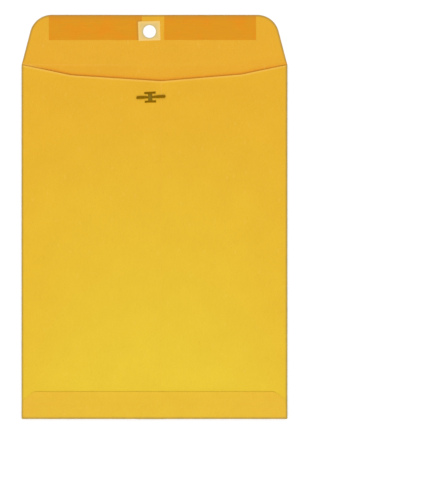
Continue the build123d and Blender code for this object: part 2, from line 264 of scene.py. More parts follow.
class Shape:
    """Vertices and faces, with the numbers and vectors that materials read at each vertex."""

    def __init__(self, vertices, faces, readings, undersides=()):
        self.vertices = [tuple(v) for v in vertices]
        self.faces = faces
        self.readings = readings
        self.undersides = set(undersides)

    def piece(self, name, sharp=40):
        """A smooth-shaded mesh object with its hard corners kept."""
        mesh = bpy.data.meshes.new(name)
        mesh.from_pydata(self.vertices, [], self.faces)
        for i in self.undersides:
            mesh.polygons[i].material_index = 1
        mesh.shade_smooth()
        mesh.set_sharp_from_angle(angle=math.radians(sharp))
        store(mesh, self.readings)
        thing = bpy.data.objects.new(name, mesh)
        bpy.context.scene.collection.objects.link(thing)
        return thing


def flat_blank(x, y):
    """Place on the unfolded blank of a panel that wasn't turned over."""
    return (x, y, 0.0)


ROW_PITCH = 0.87  # distance between the rows of an even triangle mesh, in spacings
RIM_SHARE = 0.4  # how near to a rim a point may lie, in spacings
RIM_CLEARANCE = 0.6 * MM  # and the most that this comes to


def planned(loops, spacing, rows):
    """Points and triangles that fill an outline with holes, evenly but for some rows of points."""
    outer = np.array(loops[0])
    low = outer.min(axis=0)
    high = outer.max(axis=0)
    levels = np.arange(low[1], high[1], spacing * ROW_PITCH)
    columns = np.arange(low[0], high[0], spacing)
    grid = np.array([(x + (j % 2) * spacing / 2, y) for j, y in enumerate(levels) for x in columns])
    if len(rows):
        lowest = rows[:, 1].min() - spacing / 3
        highest = rows[:, 1].max() + spacing / 3
        beside = (grid[:, 1] < lowest) | (grid[:, 1] > highest)
        grid = np.vstack([grid[beside], rows])
    rims = [closed(loop) for loop in loops]
    clear = distance_to(grid, rims) > min(RIM_SHARE * spacing, RIM_CLEARANCE)
    points = []
    edges = []
    for loop in loops:
        start = len(points)
        points += loop
        edges += [(start + i, start + (i + 1) % len(loop)) for i in range(len(loop))]
    points += [Vector(p) for p in grid[is_inside(grid, loops) & clear]]
    plan, _, triangles, _, _, _ = delaunay_2d_cdt(points, edges, [], 0, 1e-8)
    plan = np.array([tuple(p) for p in plan])
    middles = np.array([plan[list(t)].mean(axis=0) for t in triangles])
    kept = [tuple(t) for t, inside in zip(triangles, is_inside(middles, loops)) if inside]
    used = sorted({i for t in kept for i in t})
    renumber = {old: new for new, old in enumerate(used)}
    return plan[used], [tuple(renumber[i] for i in t) for t in kept]


def sheet(loops, under, thickness, spacing, blank=flat_blank, rows=(), near=None, folds=()):
    """A thin closed sheet over an outline with holes.

    under(x, y) is the height of its underside and blank(x, y) its place on the unfolded sheet. near
    names readings of the distance to some lines, and folds are the lines along the envelope's rim.
    """
    plan, triangles = planned(loops, spacing, rows)
    count = len(plan)
    heights = np.array([under(x, y) for x, y in plan])
    lower = np.column_stack([plan, heights])
    upper = np.column_stack([plan, heights + thickness])
    faces = [tuple(i + count for i in t) for t in triangles]
    undersides = range(len(faces), 2 * len(faces))
    faces += [tuple(reversed(t)) for t in triangles]
    sides = {(t[i], t[(i + 1) % 3]) for t in triangles for i in range(3)}
    faces += [(a, b, b + count, a + count) for a, b in sorted(sides) if (b, a) not in sides]

    readings = {"edge": np.full(count, FAR)}
    for name, lines in (near or {}).items():
        readings[name] = distance_to(plan, lines)
    past_fold = distance_to(plan, folds) + math.pi / 4 * SIDE_FOLD_HEIGHT
    readings["edge"] = np.minimum(readings["edge"], past_fold)
    readings["throat"] = plan[:, 1] - throat_line(plan[:, 0])
    readings = {name: np.tile(values, 2) for name, values in readings.items()}
    readings["blank"] = np.tile(np.array([blank(x, y) for x, y in plan]), (2, 1))
    vertices = np.vstack([lower, upper])
    readings["place"] = vertices
    return Shape(vertices, faces, readings, undersides)


def tube_faces(vertices, size):
    """Faces, looking outwards, of a closed tube through rings of equally many points."""
    last = len(vertices) - size
    faces = [tuple(reversed(range(size))), tuple(range(last, last + size))]
    for start in range(0, last, size):
        for k in range(size):
            a = start + k
            b = start + (k + 1) % size
            faces.append((a, b, b + size, a + size))
    volume = 0.0
    for face in faces:
        for i, j in zip(face[1:], face[2:]):
            volume += vertices[face[0]].dot(vertices[i].cross(vertices[j]))
    return faces if volume > 0 else [tuple(reversed(face)) for face in faces]


FOLD_PINCH = 1.4  # 1 is a half-round turn, more is a sharper one
FOLD_STEPS = 14
FOLD_LEAST = 0.02 * MM  # least reach of a fold's inner face


def fold_strip(stations, outward):
    """The turn of the sheet along a fold.

    Each station is (x, y, height, reach): where the fold starts on the front, how high it turns up and
    how far out it reaches. The turn is a little pinched, as a pressed fold is.
    """
    vertices = []
    blanks = []
    edges = []
    for x, y, height, reach in stations:
        middle = height / 2
        for inset in (0, PAPER):
            order = range(FOLD_STEPS + 1) if inset == 0 else range(FOLD_STEPS, -1, -1)
            for k in order:
                angle = math.pi * (k / FOLD_STEPS - 0.5)
                out = max(reach - inset, FOLD_LEAST) * max(math.cos(angle), 0.0) ** FOLD_PINCH
                up = middle + (middle - inset) * math.sin(angle)
                vertices.append(Vector((x, y, up)) + outward * out)
                arc = math.pi * middle * k / FOLD_STEPS
                blanks.append((x + outward.x * arc, y + outward.y * arc, 0.0))
                edges.append(abs(arc - math.pi * middle / 2))
    places = np.array([tuple(v) for v in vertices])
    readings = {
        "edge": np.array(edges),
        "throat": places[:, 1] - throat_line(places[:, 0]),
        "blank": np.array(blanks),
        "place": places,
    }
    return Shape(vertices, tube_faces(vertices, 2 * (FOLD_STEPS + 1)), readings)


STRIP_SQUARENESS = 5.0
STRIP_POINTS = 20
STRIP_CROWN = 0.05 * MM


def metal_strip(path):
    """A flat metal strip with eased edges, along stations of (centre, across, up, width, thickness)."""
    vertices = []
    for centre, across, up, width, thickness in path:
        for k in range(STRIP_POINTS):
            c = math.cos(2 * math.pi * k / STRIP_POINTS)
            s = math.sin(2 * math.pi * k / STRIP_POINTS)
            side = math.copysign(abs(c) ** (2 / STRIP_SQUARENESS), c)
            rise = math.copysign(abs(s) ** (2 / STRIP_SQUARENESS), s)
            lift = thickness / 2 * rise + STRIP_CROWN * (1 - side * side)
            vertices.append(centre + across * (side * width / 2) + up * lift)
    places = np.array([tuple(v) for v in vertices])
    # Shade 1: the whole prong takes the painted-shade brass
    readings = {"place": places, "shade": np.ones(len(places))}
    return Shape(vertices, tube_faces(vertices, STRIP_POINTS), readings)


# How high each layer lies

def back_lift(x, y):
    """Swell, slow waves and throat curl that all the layers of the back share."""
    from_side = SIDE_X - abs(x)
    from_bottom = y - BOTTOM_FLAP_Y
    belly = BELLY * smooth(0, BELLY_RUN, from_side) * smooth(0, BELLY_RUN, from_bottom)
    belly *= smooth(*BELLY_TOP, CREASE_Y - y)
    slow = 0.7 * wave(x, y, COCKLE_LONG, 1.7) + 0.3 * wave(x, y, COCKLE_SHORT, 4.2)
    cockle = COCKLE * slow * smooth(0, COCKLE_SIDE_RUN, from_side)
    cockle *= smooth(0, COCKLE_BOTTOM_RUN, from_bottom)
    cockle *= smooth(*COCKLE_CLASP, math.hypot(x - CLASP.x, y - CLASP.y))
    curl = THROAT_CURL * smooth(0, THROAT_CURL_SIDE_RUN, from_side)
    curl *= 1 - smooth(0, THROAT_CURL_RUN, throat_line(x) - y)
    return belly + cockle + curl


def seam_step(x):
    """0 beside the seam and 1 where the left half has climbed over the tucked edge."""
    end = HIDDEN_X - STEP_CLEARANCE
    return smooth(end - STEP_RUN, end, x)


def over_seam(x):
    """As seam_step, and down again past the visible seam edge."""
    start = SEAM_X + STEP_CLEARANCE
    return seam_step(x) * (1 - smooth(start, start + STEP_RUN, x))


def left_under(x, y):
    return BACK_LOW + SEAM_RISE * seam_step(x) + back_lift(x, y)


def right_under(x, y):
    return BACK_LOW + back_lift(x, y)


def bottom_under(x, y):
    """The bottom flap is glued down, but for its free margin, which lifts a little."""
    lift = smooth(0, BOTTOM_FLAP_CURL_RUN, y - BOTTOM_FLAP_Y + BOTTOM_FLAP_CURL_RUN)
    lift *= 0.6 + 0.4 * wave(x, 0, BOTTOM_FLAP_CURL_WAVE, 5.5)
    return BOTTOM_LOW + SEAM_RISE * over_seam(x) + BOTTOM_FLAP_CURL * lift


def flap_under(x, y):
    """The open flap lies flat, with slow waves away from the crease and the hole."""
    ridge = CREASE_RIDGE * math.exp(-(((y - CREASE_Y) / CREASE_RIDGE_WIDTH) ** 2))
    from_hole = smooth(*FLAP_WAVE_HOLE, math.hypot(x - HOLE.x, y - HOLE.y))
    from_crease = smooth(*FLAP_WAVE_CREASE, y - CREASE_Y)
    return ridge + FLAP_WAVE * wave(x, y, FLAP_WAVE_LENGTH, 8.1) * from_hole * from_crease


def on_flap(x, y):
    return PAPER + flap_under(x, y)


# Materials

class Tree:
    """A material's nodes, with short ways to add the few kinds used here."""

    def __init__(self, name):
        self.material = bpy.data.materials.new(name)
        self.material.use_nodes = True
        self.nodes = self.material.node_tree.nodes
        self.links = self.material.node_tree.links
        self.shader = self.nodes["Principled BSDF"]

    def plug(self, socket, value):
        """Links a socket to another one, or sets its value."""
        if isinstance(value, bpy.types.NodeSocket):
            self.links.new(value, socket)
        else:
            socket.default_value = value

    def vector(self, name):
        node = self.nodes.new("ShaderNodeAttribute")
        node.attribute_name = name
        return node.outputs["Vector"]

    def number(self, name):
        node = self.nodes.new("ShaderNodeAttribute")
        node.attribute_name = name
        return node.outputs["Fac"]

    def stretched(self, vector, scale, turn=0.0):
        node = self.nodes.new("ShaderNodeMapping")
        self.plug(node.inputs["Vector"], vector)
        node.inputs["Scale"].default_value = scale
        node.inputs["Rotation"].default_value = (0, 0, turn)
        return node.outputs["Vector"]

    def noise(self, vector, scale=1.0, detail=2.0, rough=0.5, flat=True):
        node = self.nodes.new("ShaderNodeTexNoise")
        node.noise_dimensions = "2D" if flat else "3D"
        self.plug(node.inputs["Vector"], vector)
        node.inputs["Scale"].default_value = scale
        node.inputs["Detail"].default_value = detail
        node.inputs["Roughness"].default_value = rough
        return node.outputs["Fac"]

    def cells(self, vector):
        """Distance to the nearest scattered point, and three random numbers of that point."""
        node = self.nodes.new("ShaderNodeTexVoronoi")
        node.voronoi_dimensions = "2D"
        self.plug(node.inputs["Vector"], vector)
        node.inputs["Scale"].default_value = 1.0
        return node.outputs["Distance"], node.outputs["Color"]

    def math(self, operation, first, second=0.0):
        node = self.nodes.new("ShaderNodeMath")
        node.operation = operation
        self.plug(node.inputs[0], first)
        self.plug(node.inputs[1], second)
        return node.outputs[0]

    def weighted(self, *pairs):
        """Sum of values, each times its weight."""
        result = None
        for value, weight in pairs:
            term = self.math("MULTIPLY", value, weight)
            result = term if result is None else self.math("ADD", result, term)
        return result

    def times(self, *values):
        result = values[0]
        for value in values[1:]:
            result = self.math("MULTIPLY", result, value)
        return result

    def fade(self, value, low, high, start=0.0, end=1.0):
        """Eased value from start at low to end at high."""
        node = self.nodes.new("ShaderNodeMapRange")
        node.interpolation_type = "SMOOTHSTEP"
        settings = {"Value": value, "From Min": low, "From Max": high, "To Min": start, "To Max": end}
        for name, setting in settings.items():
            self.plug(node.inputs[name], setting)
        return node.outputs["Result"]

    def mix(self, factor, first, second, blend="MIX"):
        node = self.nodes.new("ShaderNodeMix")
        node.data_type = "RGBA"
        node.blend_type = blend
        self.plug(node.inputs["Factor"], factor)
        self.plug(node.inputs[6], first)
        self.plug(node.inputs[7], second)
        return node.outputs[2]

    def axis(self, vector, name):
        node = self.nodes.new("ShaderNodeSeparateXYZ")
        self.plug(node.inputs[0], vector)
        return node.outputs[name]

    def bump(self, height, strength, distance):
        node = self.nodes.new("ShaderNodeBump")
        self.plug(node.inputs["Height"], height)
        node.inputs["Strength"].default_value = strength
        node.inputs["Distance"].default_value = distance
        self.links.new(node.outputs["Normal"], self.shader.inputs["Normal"])

    def set(self, **values):
        for name, value in values.items():
            self.plug(self.shader.inputs[name.replace("_", " ")], value)


# Colours of the materials, and pairs of distances: an effect is full at the first and ends at the second

EDGE_BROWN = srgb(136, 120, 72)
DARK_FLECK = srgb(196, 132, 22)
LIGHT_FLECK = srgb(250, 214, 112)
LOW_TONE = (0.975, 0.962, 0.94, 1.0)  # factors on the paper's colour
HIGH_TONE = (1.025, 1.038, 1.06, 1.0)
EDGE_DARKENING_REACH = (0.5 * MM, 2.3 * MM)
RIM_DARKENING = 0.64  # the envelope's rim is darkened most
RIM_DARKENING_REACH = (0.5 * MM, 2.9 * MM)


def flecks(t, blank, scale, low, high):
    """Sparse soft flecks: one mask of dark ones and one of light ones."""
    distance, random = t.cells(t.stretched(blank, scale))
    spot = t.times(t.fade(distance, low, high, 1.0, 0.0), t.fade(t.axis(random, "X"), 0.45, 0.6))
    light = t.fade(t.axis(random, "Y"), 0.5, 0.52)
    return t.times(spot, t.math("SUBTRACT", 1.0, light)), t.times(spot, light)


def hairs(t, blank, scale, turn):
    """Thin wandering fibres, broken into short lengths."""
    place = t.stretched(blank, scale, turn)
    off_line = t.math("ABSOLUTE", t.math("SUBTRACT", t.noise(place, 1.0, 1.0), 0.5))
    lengths = t.fade(t.noise(place, 0.8, 1.0), 0.5, 0.56)
    return t.times(t.fade(off_line, 0.004, 0.016, 1.0, 0.0), lengths)


# Scale, inner and outer size, strength of the dark and of the light ones
FLECKS = (
    ((105, 46, 1), 0.03, 0.12, 0.05, 0.13),
    ((330, 170, 1), 0.05, 0.16, 0.05, 0.11),
    ((900, 500, 1), 0.05, 0.2, 0.1, 0.1),
)
# Scale, turn, colour and strength
FIBRES = (
    ((900, 260, 1), 0.15, srgb(188, 128, 26), 0.18),
    ((1150, 360, 1), -0.35, srgb(250, 214, 116), 0.2),
    ((900, 330, 1), 1.1, srgb(250, 212, 108), 0.16),
    ((1500, 520, 1), 0.6, srgb(196, 136, 30), 0.18),
)


def kraft_paper(name, paint, edge_darkening=0.5, edge_darkening_reach=EDGE_DARKENING_REACH):
    """Golden kraft paper, with the colour that paint(t) gives it at each place.

    It has a faintly cloudy tone, flecks, fibres in the machine direction, a fine tooth and darker edges.
    """
    t = Tree(name)
    blank = t.vector("blank")
    clouds = t.noise(blank, 34.0, 3.0, 0.55)
    streaks = t.noise(t.stretched(blank, (430, 120, 1)), 1.0, 2.0)
    tooth = t.noise(t.stretched(blank, (5200, 900, 1), 0.1), 1.0, 3.0, 0.6)
    crossing = t.noise(t.stretched(blank, (1100, 4300, 1), 0.5), 1.0, 2.0)
    tone = t.weighted((clouds, 0.34), (streaks, 0.16), (tooth, 0.3), (crossing, 0.2))
    shade = t.mix(t.fade(tone, 0.3, 0.7), LOW_TONE, HIGH_TONE)
    colour = t.mix(1.0, paint(t), shade, "MULTIPLY")
    for scale, low, high, dark_strength, light_strength in FLECKS:
        dark, light = flecks(t, blank, scale, low, high)
        colour = t.mix(t.times(dark, dark_strength), colour, DARK_FLECK)
        colour = t.mix(t.times(light, light_strength), colour, LIGHT_FLECK)
    for scale, turn, tint, strength in FIBRES:
        colour = t.mix(t.times(hairs(t, blank, scale, turn), strength), colour, tint)
    edge = t.number("edge")
    uneven = t.fade(t.noise(blank, 120.0, 3.0), 0.3, 0.7, 0.88, 1.1)
    # Darker towards the edges and along the folds
    darkened = t.times(t.fade(edge, *edge_darkening_reach, edge_darkening, 0.0), uneven)
    t.set(Base_Color=t.mix(darkened, colour, EDGE_BROWN))
    t.set(Roughness=t.fade(tooth, 0.3, 0.7, 0.70, 0.84), Specular_IOR_Level=0.14)
    grain = t.weighted((tooth, 0.8), (crossing, 0.5), (streaks, 0.8))
    t.bump(grain, 0.22, 0.08 * MM)
    return t.material


INSIDE = srgb(233, 173, 44)
# Painted shade: the darker, more orange tone of the pocket's mouth just above the throat
POCKET_SHADE = srgb(240, 155, 36)
# Pale of the rubbed crease; also used as painted light at the left end above the throat
PALE_RUB_AND_LIGHT = srgb(250, 196, 84)
CREASE_RUB = (0.3 * MM, 1.2 * MM)
POCKET_SHADE_NEAR = (0.5 * MM, 4.4 * MM)  # above the throat; painted shade, strongest near the throat's line
POCKET_SHADE_FAR = (8 * MM, 12 * MM)  # above the throat; a faint band of the same painted shade
PAINTED_LIGHT_CORNER = (0.6 * MM, 2.6 * MM)  # above the throat; painted light that lifts the shade at the left end
LEFT_CORNER = (5 * MM, 28 * MM)  # from the left side
RIGHT_CORNER = 16 * MM  # width beside the right side
RUB_SIDE = (-44 * MM, -20 * MM)  # places across, for the stronger rub of the left side


def inside_colour(t):
    """Inner face: rubbed pale along the crease, painted orange shade above the throat, weaker in its
    corners.
    """
    place = t.vector("place")
    aside = t.axis(place, "X")
    throat = t.number("throat")
    from_crease = t.math("ABSOLUTE", t.math("SUBTRACT", t.axis(place, "Y"), CREASE_Y))
    rubbed = t.fade(aside, *RUB_SIDE, 0.17, 0.05)
    pale = t.times(t.fade(from_crease, *CREASE_RUB, 1.0, 0.0), rubbed)
    colour = t.mix(pale, INSIDE, PALE_RUB_AND_LIGHT)
    left_corner = t.fade(aside, LEFT_CORNER[0] - SIDE_X, LEFT_CORNER[1] - SIDE_X, 0.15, 1.0)
    right_corner = t.fade(aside, SIDE_X - RIGHT_CORNER, SIDE_X, 1.0, 0.4)
    corners = t.times(left_corner, right_corner)
    # Painted light: the left end just above the throat is lightened against the shade cast by the back's
    # edge
    corner_light = t.times(t.math("SUBTRACT", 1.0, left_corner), t.fade(throat, *PAINTED_LIGHT_CORNER, 0.8, 0.0))
    colour = t.mix(corner_light, colour, PALE_RUB_AND_LIGHT)
    # Painted shade in the pocket's mouth above the throat, weaker towards the corners
    colour = t.mix(t.times(corners, t.fade(throat, *POCKET_SHADE_FAR, 0.14, 0.0)), colour, POCKET_SHADE)
    return t.mix(t.times(corners, t.fade(throat, *POCKET_SHADE_NEAR, 0.8, 0.0)), colour, POCKET_SHADE)


FRONT_BOTTOM = srgb(236, 190, 50)
FRONT_TOP = srgb(234, 183, 44)


def outside_colour(t):
    """Front face and the outside of the flap."""
    height = t.fade(t.axis(t.vector("place"), "Y"), BOTTOM_Y, CREASE_Y)
    return t.mix(height, FRONT_BOTTOM, FRONT_TOP)


BACK_TOP = srgb(233, 177, 42)
BACK_LOW_COLOUR = srgb(234, 199, 50)
# Painted highlight along the throat's lip and the seam edge of the back
LIP_HIGHLIGHT = srgb(251, 198, 92)
BACK_TOP_Y = 110 * MM  # height in the plan where the upper colour starts to change
BACK_FADE = 235 * MM  # run down to the lower colour
LIP_HIGHLIGHT_REACH = (0.5 * MM, 2.4 * MM)  # below the throat
SEAM_HIGHLIGHT = (0.1 * MM, 0.55 * MM)
SEAM_HIGHLIGHT_RUN = (6 * MM, 24 * MM)  # below the throat; past it the painted highlight is faint
SEAM_HIGHLIGHT_X = SEAM_X + 0.1 * MM


def back_colour(t):
    """Back: yellower towards the bottom and the middle, with painted highlights at the throat's lip and
    seam.
    """
    place = t.vector("place")
    down = t.math("DIVIDE", t.math("SUBTRACT", BACK_TOP_Y, t.axis(place, "Y")), BACK_FADE)
    aside = t.math("DIVIDE", t.axis(place, "X"), HALF_WIDTH)
    centred = t.math("SUBTRACT", 1.05, t.times(aside, aside, 0.4))
    colour = t.mix(t.times(down, centred), BACK_TOP, BACK_LOW_COLOUR)
    below = t.math("MULTIPLY", t.number("throat"), -1.0)
    # Painted highlight on the lip just below the throat
    colour = t.mix(t.fade(below, *LIP_HIGHLIGHT_REACH, 0.5, 0.0), colour, LIP_HIGHLIGHT)
    # Painted highlight along the seam edge, strongest near the throat
    from_seam = t.math("ABSOLUTE", t.math("SUBTRACT", t.axis(place, "X"), SEAM_HIGHLIGHT_X))
    seam_highlight = t.fade(from_seam, *SEAM_HIGHLIGHT, 1.0, 0.0)
    rubbed = t.times(seam_highlight, t.fade(below, *SEAM_HIGHLIGHT_RUN, 0.36, 0.08))
    return t.mix(rubbed, colour, LIP_HIGHLIGHT)


BOTTOM_MIDDLE = srgb(234, 190, 50)
BOTTOM_END = srgb(234, 186, 54)


def bottom_colour(t):
    """Bottom flap, a little more orange than the panel above it, most so at its ends."""
    aside = t.math("DIVIDE", t.axis(t.vector("place"), "X"), HALF_WIDTH)
    return t.mix(t.times(aside, aside), BOTTOM_MIDDLE, BOTTOM_END)


GUM_YELLOW = srgb(224, 150, 26)
GUM_ORANGE = srgb(230, 145, 24)
GUM_DARK_FLECK = srgb(190, 112, 12)
GUM_LIGHT_FLECK = srgb(240, 176, 60)
GUM_RIM_FAR = (1.0 * MM, 6.0 * MM)
GUM_RIM_NEAR = (0.3 * MM, 1.8 * MM)
# Painted shade on the gum beside the patch's edge
GUM_PATCH_SHADE = (0.6 * MM, 2.3 * MM)


def dry_gum(name):
    """A dried film of gum, smoother than the paper, uneven where it was rolled on, with painted shade at
    the patch.
    """
    t = Tree(name)
    blank = t.vector("blank")
    clouds = t.noise(blank, 60.0, 4.0, 0.6)
    rolled = t.noise(t.stretched(blank, (60, 900, 1)), 1.0, 3.0)
    fibres = t.noise(t.stretched(blank, (3600, 700, 1)), 1.0, 3.0)
    film = t.mix(t.fade(clouds, 0.4, 0.75), GUM_YELLOW, GUM_ORANGE)
    tone = t.fade(t.weighted((rolled, 0.5), (fibres, 0.5)), 0.3, 0.7, 0.97, 1.03)
    film = t.mix(1.0, film, tone, "MULTIPLY")
    dark, light = flecks(t, blank, (150, 90, 1), 0.03, 0.1)
    film = t.mix(t.times(dark, 0.2), film, GUM_DARK_FLECK)
    film = t.mix(t.times(light, 0.2), film, GUM_LIGHT_FLECK)
    edge = t.number("edge")
    film = t.mix(t.fade(edge, *GUM_RIM_FAR, 0.14, 0.0), film, EDGE_BROWN)
    film = t.mix(t.fade(edge, *GUM_RIM_NEAR, 0.42, 0.0), film, EDGE_BROWN)
    # Painted shade where the patch's edge stands over the gum
    film = t.mix(t.fade(t.number("patch"), *GUM_PATCH_SHADE, 0.27, 0.0), film, EDGE_BROWN)
    t.set(Base_Color=film, Roughness=t.fade(clouds, 0.3, 0.7, 0.5, 0.64), Specular_IOR_Level=0.1)
    t.bump(t.weighted((rolled, 0.6), (fibres, 0.8)), 0.12, 0.04 * MM)
    return t.material


PATCH_DARK = srgb(228, 196, 118)
PATCH_LIGHT = srgb(236, 203, 132)
PATCH_BORDER = srgb(245, 204, 114)
PATCH_HANDLED = srgb(196, 180, 126)
PATCH_BORDER_WIDTH = (0.8 * MM, 2.4 * MM)
PATCH_HANDLED_WIDTH = (0.3 * MM, 1.7 * MM)
# Scale, turn and colour
PATCH_FIBRES = (
    ((1000, 340, 1), 0.4, srgb(206, 168, 92)),
    ((900, 300, 1), 1.3, srgb(248, 226, 170)),
)


def patch_paper(name):
    """Thin reinforcing paper, pale at its border and handled grey round the hole."""
    t = Tree(name)
    blank = t.vector("blank")
    clouds = t.noise(blank, 190.0, 3.0)
    fibres = t.noise(t.stretched(blank, (700, 4200, 1), 0.2), 1.0, 3.0)
    tone = t.weighted((clouds, 0.6), (fibres, 0.4))
    paper = t.mix(t.fade(tone, 0.3, 0.7), PATCH_DARK, PATCH_LIGHT)
    for scale, turn, tint in PATCH_FIBRES:
        paper = t.mix(t.times(hairs(t, blank, scale, turn), 0.3), paper, tint)
    paper = t.mix(t.fade(t.number("edge"), *PATCH_BORDER_WIDTH, 0.9, 0.0), paper, PATCH_BORDER)
    paper = t.mix(t.fade(t.number("hole"), *PATCH_HANDLED_WIDTH, 0.6, 0.0), paper, PATCH_HANDLED)
    t.set(Base_Color=paper, Roughness=t.fade(fibres, 0.3, 0.7, 0.62, 0.78), Specular_IOR_Level=0.16)
    t.bump(fibres, 0.2, 0.05 * MM)
    return t.material


GLUE_BROWN = srgb(186, 152, 84)
GLUE_PALE = srgb(220, 192, 126)


def set_glue(name):
    """A set line of brown glue between two sheets."""
    t = Tree(name)
    clouds = t.noise(t.vector("blank"), 120.0, 4.0)
    t.set(Base_Color=t.mix(clouds, GLUE_BROWN, GLUE_PALE))
    t.set(Roughness=t.fade(clouds, 0.3, 0.7, 0.3, 0.55))
    t.bump(clouds, 0.2, 0.02 * MM)
    return t.material


PLATE_BRASS = srgb(135, 106, 26)
# Painted shade: the darker brass of the turned-down bars and the prongs
SHADED_BRASS = srgb(136, 96, 4)
RUBBED_BRASS = srgb(170, 132, 44)


def dull_brass(name):
    """Lacquered clasp metal gone brown, with painted shade on its bent bars and prongs, rolling lines and
    rubbed spots.
    """
    t = Tree(name)
    place = t.vector("place")
    clouds = t.noise(place, 800.0, 4.0, 0.6, flat=False)
    lines = t.noise(t.stretched(place, (900, 16000, 900)), 1.0, 3.0, flat=False)
    metal = t.mix(t.number("shade"), PLATE_BRASS, SHADED_BRASS)
    tone = t.weighted((clouds, 0.7), (lines, 0.3))
    metal = t.mix(1.0, metal, t.fade(tone, 0.3, 0.72, 0.8, 1.2), "MULTIPLY")
    rubbed = t.fade(t.noise(place, 1900.0, 3.0, flat=False), 0.58, 0.75, 0.0, 0.3)
    t.set(Base_Color=t.mix(rubbed, metal, RUBBED_BRASS))
    t.set(Metallic=1.0, Roughness=t.fade(tone, 0.3, 0.7, 0.48, 0.34))
    t.bump(tone, 0.18, 0.02 * MM)
    return t.material


INSIDE_KRAFT = kraft_paper("kraft_inside", inside_colour)
OUTSIDE_KRAFT = kraft_paper("kraft_outside", outside_colour, edge_darkening=0.24)
BACK_KRAFT = kraft_paper("kraft_back", back_colour, RIM_DARKENING, RIM_DARKENING_REACH)
BOTTOM_KRAFT = kraft_paper("kraft_bottom", bottom_colour, RIM_DARKENING, RIM_DARKENING_REACH)
GUM = dry_gum("gum_film")
PALE_PATCH = patch_paper("patch_paper")
GLUE = set_glue("glue_line")
BRASS = dull_brass("dull_brass")


def dress(piece, node, slot, body, *materials):
    """Puts a piece in place of a solid, with its materials, and on the solid's body if it is rigid."""
    for material in materials:
        piece.data.materials.append(material)
    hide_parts(node)
    if body:
        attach(piece, body)


# The folded sheet

PANEL_STEP = 3.4 * MM
BOTTOM_FLAP_STEP = 1.8 * MM
BOTTOM_FLAP_RIM_STEP = 2.0 * MM
ROOT_Y = CREASE_Y - CREASE_BLEND
FOLD_ARC = math.pi / 2 * SIDE_FOLD_HEIGHT


def panel(name, node, outline, under, blank, folds, materials, rim_step=PANEL_STEP, step=PANEL_STEP):
    """A panel of the sheet that stays with the envelope."""
    loop = divided([Vector(p) for p in outline], rim_step)
    paper = sheet([loop], under, PAPER, step, blank, folds=folds)
    dress(paper.piece(name), node, "kraft_paper", "envelope", *materials)


left_fold_line = [(-SIDE_X, PANEL_END_Y), (-SIDE_X, SHOULDER_Y)]
right_fold_line = [(SIDE_X, PANEL_END_Y), (SIDE_X, SHOULDER_Y)]
bottom_fold_line = [(-BOTTOM_FLAP_X, FOLD_Y), (BOTTOM_FLAP_X, FOLD_Y)]
left_end_line = [(-BOTTOM_FLAP_X, FOLD_Y), (-BOTTOM_FLAP_X, BOTTOM_FLAP_SIDE_Y)]
right_end_line = [(BOTTOM_FLAP_X, FOLD_Y), (BOTTOM_FLAP_X, BOTTOM_FLAP_SIDE_Y)]

panel(
    "front_panel_paper",
    "front_panel",
    rectangle(-SIDE_X, FOLD_Y, SIDE_X, ROOT_Y),
    lambda x, y: 0.0,
    flat_blank,
    [left_fold_line, right_fold_line, bottom_fold_line],
    (INSIDE_KRAFT, OUTSIDE_KRAFT),
)
panel(
    "left_back_paper",
    "left_back_panel",
    [(-SIDE_X, PANEL_END_Y), (SEAM_X, PANEL_END_Y), (SEAM_X, THROAT_Y), LEFT_KNEE, (-SIDE_X, SHOULDER_Y)],
    left_under,
    lambda x, y: (-2 * SIDE_X - FOLD_ARC - x, y, 0.0),
    [left_fold_line],
    (BACK_KRAFT, INSIDE_KRAFT),
)
right_low = [(HIDDEN_X, PANEL_END_Y), (SIDE_X, PANEL_END_Y)]
panel(
    "right_back_paper",
    "right_back_panel",
    right_low + [(SIDE_X, SHOULDER_Y), RIGHT_KNEE, (SEAM_X, THROAT_Y), (HIDDEN_X, HIDDEN_THROAT_Y)],
    right_under,
    lambda x, y: (2 * SIDE_X + FOLD_ARC - x, y, 0.0),
    [right_fold_line],
    (BACK_KRAFT, INSIDE_KRAFT),
)
bottom_right = [
    (BOTTOM_FLAP_X, FOLD_Y, 0),
    (BOTTOM_FLAP_X, BOTTOM_FLAP_SIDE_Y, BOTTOM_FLAP_ROUND),
    (HALF_WIDTH - BOTTOM_FLAP_CUT, BOTTOM_FLAP_Y, BOTTOM_FLAP_ROUND),
]
bottom_left = [(-x, y, radius) for x, y, radius in reversed(bottom_right)]
panel(
    "bottom_flap_paper",
    "bottom_flap",
    rounded(bottom_left[-1:] + bottom_right + bottom_left[:-1]),
    bottom_under,
    lambda x, y: (x, 2 * FOLD_Y - FOLD_ARC - y, 0.0),
    [bottom_fold_line, left_end_line, right_end_line],
    (BOTTOM_KRAFT, INSIDE_KRAFT),
    BOTTOM_FLAP_RIM_STEP,
    BOTTOM_FLAP_STEP,
)


# Folds

FOLD_WANDER_LENGTH = 28 * MM
SIDE_FOLD_WANDER = 0.14  # share of its reach by which a fold wanders
BOTTOM_FOLD_WANDER = 0.1
SIDE_WANDER_START = 10 * MM  # run above the lower end in which the wander sets in
SIDE_FOLD_STEPS = 90
BOTTOM_FOLD_STEPS = 140
CORNER_STEPS = 8
CORNER_START = 0.6  # in steps, so that the round end doesn't shrink to a point
CORNER_DROP = 0.6 * MM  # how far a side fold's round end goes past the start of the bottom fold


